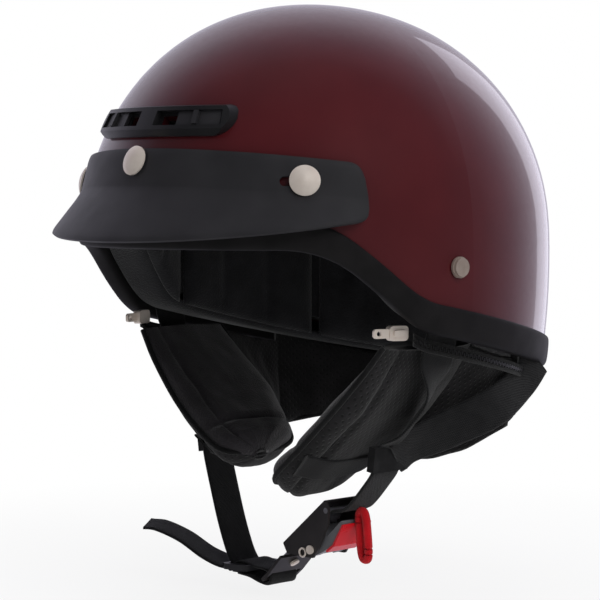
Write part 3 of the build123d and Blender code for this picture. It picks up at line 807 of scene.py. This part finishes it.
def make_curtain():
    """Curtain behind the ears: leans in below the zip, with a hem and shallow folds."""
    steps, points, uvs = 220, [], []
    start, stop = CURTAIN_TURN - 0.02, 2 * math.pi - CURTAIN_TURN + 0.02
    section = [(-7.6, -0.13), (-7.6, 0.05), (-7.4, 0.25), (-8.2, 0.45), (-9.4, 0.66), (-10.6, 0.84),
               (-11.2, 0.95), (-12.4, 1.0), (-14.2, 0.98), (-14.6, 0.9), (-14.2, 0.74), (-13.4, 0.5),
               (-12.4, 0.25), (-11.6, 0.0), (-11.4, -0.13)]
    for i in range(steps + 1):
        turn = start + (stop - start) * i / steps
        reach = curtain_drop(turn)
        for off, part in section:
            depth = min(max(part, 0.0), 1.0)
            fold = (math.sin(turn * 31.0) * 0.35 + noise.noise(Vector((turn * 6, part * 1.5, 1)))) * 2.0
            points.append(rim_point(turn, -part * reach, off + fold * depth))
            uvs.append((turn * 120.0, part * reach))
    size = len(section)
    faces = grid_faces(steps + 1, size, wrap_columns=True)
    faces += [tuple(range(size)), tuple(reversed(range(steps * size, (steps + 1) * size)))]
    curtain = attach(build("curtain", points, faces, FLAP_OUTER, uvs, level=1), "helmet")
    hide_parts("neck_curtain")
    turns = [start + (stop - start) * i / 160 for i in range(161)]
    hem = [rim_point(turn, -0.98 * curtain_drop(turn), -12.8) for turn in turns]
    ring_tube("curtain_hem", hem, 1.5, PIPING, "helmet")


def make_zip():
    """Zip round the rim behind the temples: two tapes and a row of moulded teeth."""
    begin = math.acos(34.0 / 125.0)
    start, stop = begin, 2 * math.pi - begin
    for index, (high, low) in enumerate(((-2.6, -5.4), (-6.2, -9.2))):
        section = [(-5.6, high), (-5.5, low), (-6.6, low), (-6.6, high)]
        ring_skin(f"zip_tape_{index + 1}", section, PIPING, None,
                  turns=(start, stop))
    points, faces = [], []
    count = 300
    for i in range(count):
        turn = start + (stop - start) * (i + 0.5) / count
        width = (stop - start) / count * 0.36
        high = i % 2 == 0
        for off in (-6.3, -5.0):
            for dt, up in ((-width, 0.0), (width, 0.0), (width * 0.7, 1.0), (-width * 0.7, 1.0)):
                level = (-4.7 - 1.7 * up) if high else (-6.9 + 1.7 * up)
                points.append(rim_point(turn + dt, level, off))
        base = i * 8
        faces += [(base + 3, base + 2, base + 1, base), (base + 4, base + 5, base + 6, base + 7)]
        for k in range(4):
            faces.append((base + k, base + (k + 1) % 4, base + 4 + (k + 1) % 4, base + 4 + k))
    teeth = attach(build("zip_teeth", points, faces, TEETH, smooth=False), "helmet")
    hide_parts("zipper_chain")


make_curtain()
make_zip()


# ---------------------------------------------------------------- ear flaps

FLAPS = {
    "left": dict(sign=1.0, path=[(90, -44), (78, -60), (61, -79), (44, -96), (27, -111), (14, -121)],
                 rear=[16, 15, 12, 2, -8, -20], front=[-50, -54, -58, -61, -62, -56]),
    "right": dict(sign=-1.0, path=[(90, -44), (79, -60), (61, -80), (43, -94), (29, -103), (19, -108)],
                  rear=[8, 13, 18, 12, 4, -10], front=[-50, -51, -52, -53, -52, -48]),
}


TIP_START, TIP_REACH = 0.78, 0.225
SEAM_ACROSS, SEAM_ALONG, SEAM_HALF = 0.84, 0.66, 0.035
FLAP_FULL, FLAP_THIN = 10.2, 0.35


def flap_frame(shape, s, v):
    """Middle point and outward direction of a flap: s from zip to tip, v from rear to front."""
    path = [Vector((shape["sign"] * x, 0, z)) for x, z in shape["path"]]
    middle = curve_point(path, s)
    along = (curve_point(path, s + 0.02) - curve_point(path, s - 0.02)).normalized()
    out = along.cross(Vector((0, 1, 0))).normalized()
    if out.x * shape["sign"] < 0:
        out = -out
    rear = curve_point([Vector((y, 0, 0)) for y in shape["rear"]], s).x
    front = curve_point([Vector((y, 0, 0)) for y in shape["front"]], s).x
    shrink = 1.0
    if s > TIP_START:
        shrink = math.sqrt(max(1.0 - ((s - TIP_START) / TIP_REACH) ** 2, 0.02))
    centre, half = (rear + front) / 2, (front - rear) / 2 * shrink
    y = centre + half * (2 * v - 1)
    return Vector((middle.x, y, middle.z)), out


def flap_thickness(s, v):
    """Half the pad's thickness: thin at the zip, full low down, pulled in at edges and seams."""
    across = max(1 - abs(2 * v - 1) ** 2.6, 0.0) ** 0.5
    along = (0.3 + 0.7 * min(s / 0.35, 1.0)) * math.sqrt(max(1 - max(s - 0.82, 0) ** 2 / 0.0342, 0.0))
    seam = 1.0
    for line, axis in ((SEAM_ACROSS, v), (SEAM_ALONG, s)):
        gap = abs(axis - line)
        if gap < SEAM_HALF:
            seam = min(seam, 0.72 + 0.28 * gap / SEAM_HALF)
    lobe = 1.0 + 0.18 * max(1 - abs(s - 0.84) / 0.16, 0.0)
    return FLAP_FULL * across * along * seam * lobe + FLAP_THIN


def make_flap(side):
    """Padded ear flap with its piping, stitched seam and elastic band."""
    shape = FLAPS[side]
    rows, columns = 56, 44
    points, uvs = [], []
    for i in range(rows + 1):
        s = i / rows
        ring = [(j / columns, 1) for j in range(columns + 1)]
        ring += [(1 - j / columns, -1) for j in range(1, columns)]
        for v, face in ring:
            middle, out = flap_frame(shape, s, v)
            crease = noise.noise(Vector((s * 4.0, v * 3.0, face * 2.0 + shape["sign"]))) * 1.3
            crease += noise.noise(Vector((s * 11.0, v * 8.0, face + 5.0))) * 0.5
            bulge = flap_thickness(s, v)
            points.append(middle + out * face * (bulge + crease * min(bulge / 6.0, 1.0)))
            uvs.append((v * 95.0, s * 100.0))
    size = 2 * columns
    faces = grid_faces(rows + 1, size, wrap_columns=True)
    faces += [tuple(range(size)), tuple(reversed(range(rows * size, (rows + 1) * size)))]
    body = "flap_" + side
    flap = build("ear_pad_" + side, points, faces, FLAP_OUTER, uvs, level=1)
    flap.data.materials.append(FLAP_INNER)
    for polygon in flap.data.polygons:
        if polygon.index < rows * size and polygon.index % size >= columns:
            polygon.material_index = 1
    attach(flap, body)
    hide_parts("ear_flap_" + side)
    edge = [(0.0, i / 40) for i in range(37)]
    edge += [(j / 12, 0.9 + 0.085 * math.sin(math.pi * j / 12)) for j in range(13)]
    edge += [(1.0, 1 - i / 40) for i in range(4, 41)]
    route = [flap_frame(shape, s, v)[0] for v, s in edge]
    ring_tube("flap_piping_" + side, route, 1.5, PIPING, body)
    seam = []
    for i in range(4, 36):
        middle, out = flap_frame(shape, i / 40, SEAM_ACROSS)
        seam.append(middle + out * (flap_thickness(i / 40, SEAM_ACROSS) + 0.1))
    ring_tube("flap_seam_" + side, seam, 0.7, PIPING, body)
    band = []
    for i in range(9):
        v = 0.1 + 0.87 * i / 8
        middle, out = flap_frame(shape, 0.64 + 0.03 * i / 8, v)
        lift = flap_thickness(0.6, v) + 0.9
        down = (flap_frame(shape, 0.68, v)[0] - flap_frame(shape, 0.62, v)[0]).normalized()
        band.append((middle + out * lift, down))
    elastic = ribbon("flap_elastic_" + side, band, 15.0, 1.3, ELASTIC, body, 30)
    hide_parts("flap_band_" + side)


def make_gusset(side):
    """Thin skirt between an ear pad's rear edge and the neck curtain."""
    shape = FLAPS[side]
    rows, columns, thick = 30, 26, 1.4
    turn = CURTAIN_TURN if side == "left" else -CURTAIN_TURN
    drop = curtain_drop(turn)
    sheets = {1: [], -1: []}
    for i in range(rows + 1):
        t = i / rows
        near, out = flap_frame(shape, 0.02 + 0.7 * t, 0.05)
        far = rim_point(turn, -0.98 * t * drop, -10.0)
        for j in range(columns + 1):
            u = j / columns
            belly = math.sin(math.pi * u)
            bulge = belly * (2.0 + 2.0 * t)
            bulge += noise.noise(Vector((u * 5.0, t * 4.0, shape["sign"] * 3.0))) * 2.2 * belly
            middle = near.lerp(far, u) + out * bulge + Vector((0, 0, -5.0 * belly * t))
            for face in sheets:
                sheets[face].append((middle + out * face * thick, (u * 60.0, t * 60.0)))
    points = [p for face in (1, -1) for p, _ in sheets[face]]
    uvs = [uv for face in (1, -1) for _, uv in sheets[face]]
    count = (rows + 1) * (columns + 1)
    faces = grid_faces(rows + 1, columns + 1)
    faces += [tuple(reversed(f)) for f in grid_faces(rows + 1, columns + 1, start=count)]
    faces += edge_walls(rows, columns, flipped=True)
    gusset = build("gusset_" + side, points, faces, FLAP_OUTER, uvs)
    middle = shape["sign"] * 0.08
    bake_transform(gusset)


for side in FLAPS:
    make_flap(side)
    make_gusset(side)


# ---------------------------------------------------------------- webbing

STRAP_FOOT = 64.0
ACROSS = (0, 1, 0)


def at_chin(x, z):
    """Stop of a route in the plane of the chin strap, with the webbing lying square to it."""
    return (x, CHIN_Y, z), ACROSS


def make_side_straps(side, sign):
    """Y-shaped side webbing: a twisted front leg and a rear leg from behind the ear."""
    y, foot = CHIN_Y, STRAP_FOOT
    front = [((101.2, y, -16), (0, 1, 0)), ((101.4, y, -34), (0, 1, 0)),
             ((97.0, y + 1, -52), (0.15, 1, 0)), ((foot + 28.5, y + 1, -70), (-0.62, 0.75, -0.1)),
             ((foot + 14.0, y + 2, -86), (-0.5, 0.8, 0.1)), ((foot + 4.0, y + 2, -96), (0.25, 1, 0.3)),
             ((foot + 0.5, y + 1, -104), (0, 1, 0.1))]
    rear = [((90.5, 68, -56), (0.1, 0.6, -0.8)), ((90.5, 56, -67), (0.1, 0.5, -0.85)),
            ((foot + 28.0, 32, -79), (0.15, 0.4, -0.9)), ((foot + 15.0, 10, -90), (0.1, 0.45, -0.85)),
            ((foot + 5.0, -7, -98), (0, 0.75, -0.5)), ((foot + 1.6, -15, -104.5), (0, 0.95, -0.15))]
    for name, route, start_z in (("front", front, -0.034), ("rear", rear, -0.062)):
        placed = [((sign * m[0], m[1], m[2]), (sign * a[0], a[1], a[2])) for m, a in route]
        strap = ribbon(f"{name}_web_{side}", placed, 21.0, 1.5, WEBBING, None, 56)
        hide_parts(f"{name}_strap_{side}")
        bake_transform(strap)


for side, sign in (("left", 1.0), ("right", -1.0)):
    make_side_straps(side, sign)

leg_left = ribbon("leg_web_left", [((64.2, -19.5, -104), ACROSS), at_chin(62.6, -111),
                                   at_chin(56.0, -119), at_chin(47.4, -128),
                                   at_chin(42.0, -131.6), at_chin(33.4, -133.4)],
                  20.0, 1.7, WEBBING, "chin_strap")
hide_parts("strap_leg_left")
leg_right = ribbon("leg_web_right", [((-64.0, -19.5, -103), ACROSS), at_chin(-62.4, -112),
                                     at_chin(-57.0, -130), at_chin(-51.0, -148),
                                     at_chin(-44.5, -163), at_chin(-39.0, -170.5)],
                   20.5, 1.5, WEBBING, None, 60)
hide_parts("strap_leg_right")
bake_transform(leg_right)
loop = ribbon("loop_web", [at_chin(-43.0, -173.2), at_chin(-35.0, -167.6),
                           at_chin(-24.0, -168.8), at_chin(-14.5, -169.6),
                           at_chin(-10.9, -172.0), at_chin(-12.6, -176.8),
                           at_chin(-19.0, -176.6), at_chin(-27.0, -174.6),
                           at_chin(-36.0, -173.8)], 20.0, 1.5, WEBBING, "tongue", 90)
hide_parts("strap_loop")
tail = ribbon("tail_web", [((-39.0, -21, -169.8), (0, 1, 0)), ((-48.0, -25, -170.0), (-0.3, 1, 0.1)),
                           ((-58.0, -31, -165.5), (-0.45, 1, 0.1)), ((-69.0, -38, -157.0), (-0.5, 1, 0.1)),
                           ((-80.0, -45, -151.5), (-0.5, 1, 0.1)), ((-87.0, -50, -150.5), (-0.5, 1, 0.1))],
              20.0, 1.5, WEBBING, "tongue", 60)
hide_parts("strap_tail")


# ---------------------------------------------------------------- pull loop

def make_pull():
    """Red cord folded into a loop through the lever's finger end, held by a small eye."""
    low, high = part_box("pull_loop")
    mid_x, mid_y = (low.x + high.x) / 2 / MM, (low.y + high.y) / 2 / MM
    top, bottom = high.z / MM - 2.0, low.z / MM + 3.0
    route, count = [], 72
    for i in range(count):
        angle = 2 * math.pi * i / count
        upright = (top - bottom) / 2 * math.copysign(abs(math.cos(angle)) ** 0.55, math.cos(angle))
        sideways = 2.75 * math.copysign(abs(math.sin(angle)) ** 0.6, math.sin(angle))
        lean = -0.1 * upright
        route.append(Vector((mid_x + sideways + lean, mid_y, (top + bottom) / 2 + upright)))
    cord = ring_tube("pull_cord", route, 2.2, RED_CORD, "pull", closed=True, sides=14)
    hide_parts("pull_loop")


make_pull()
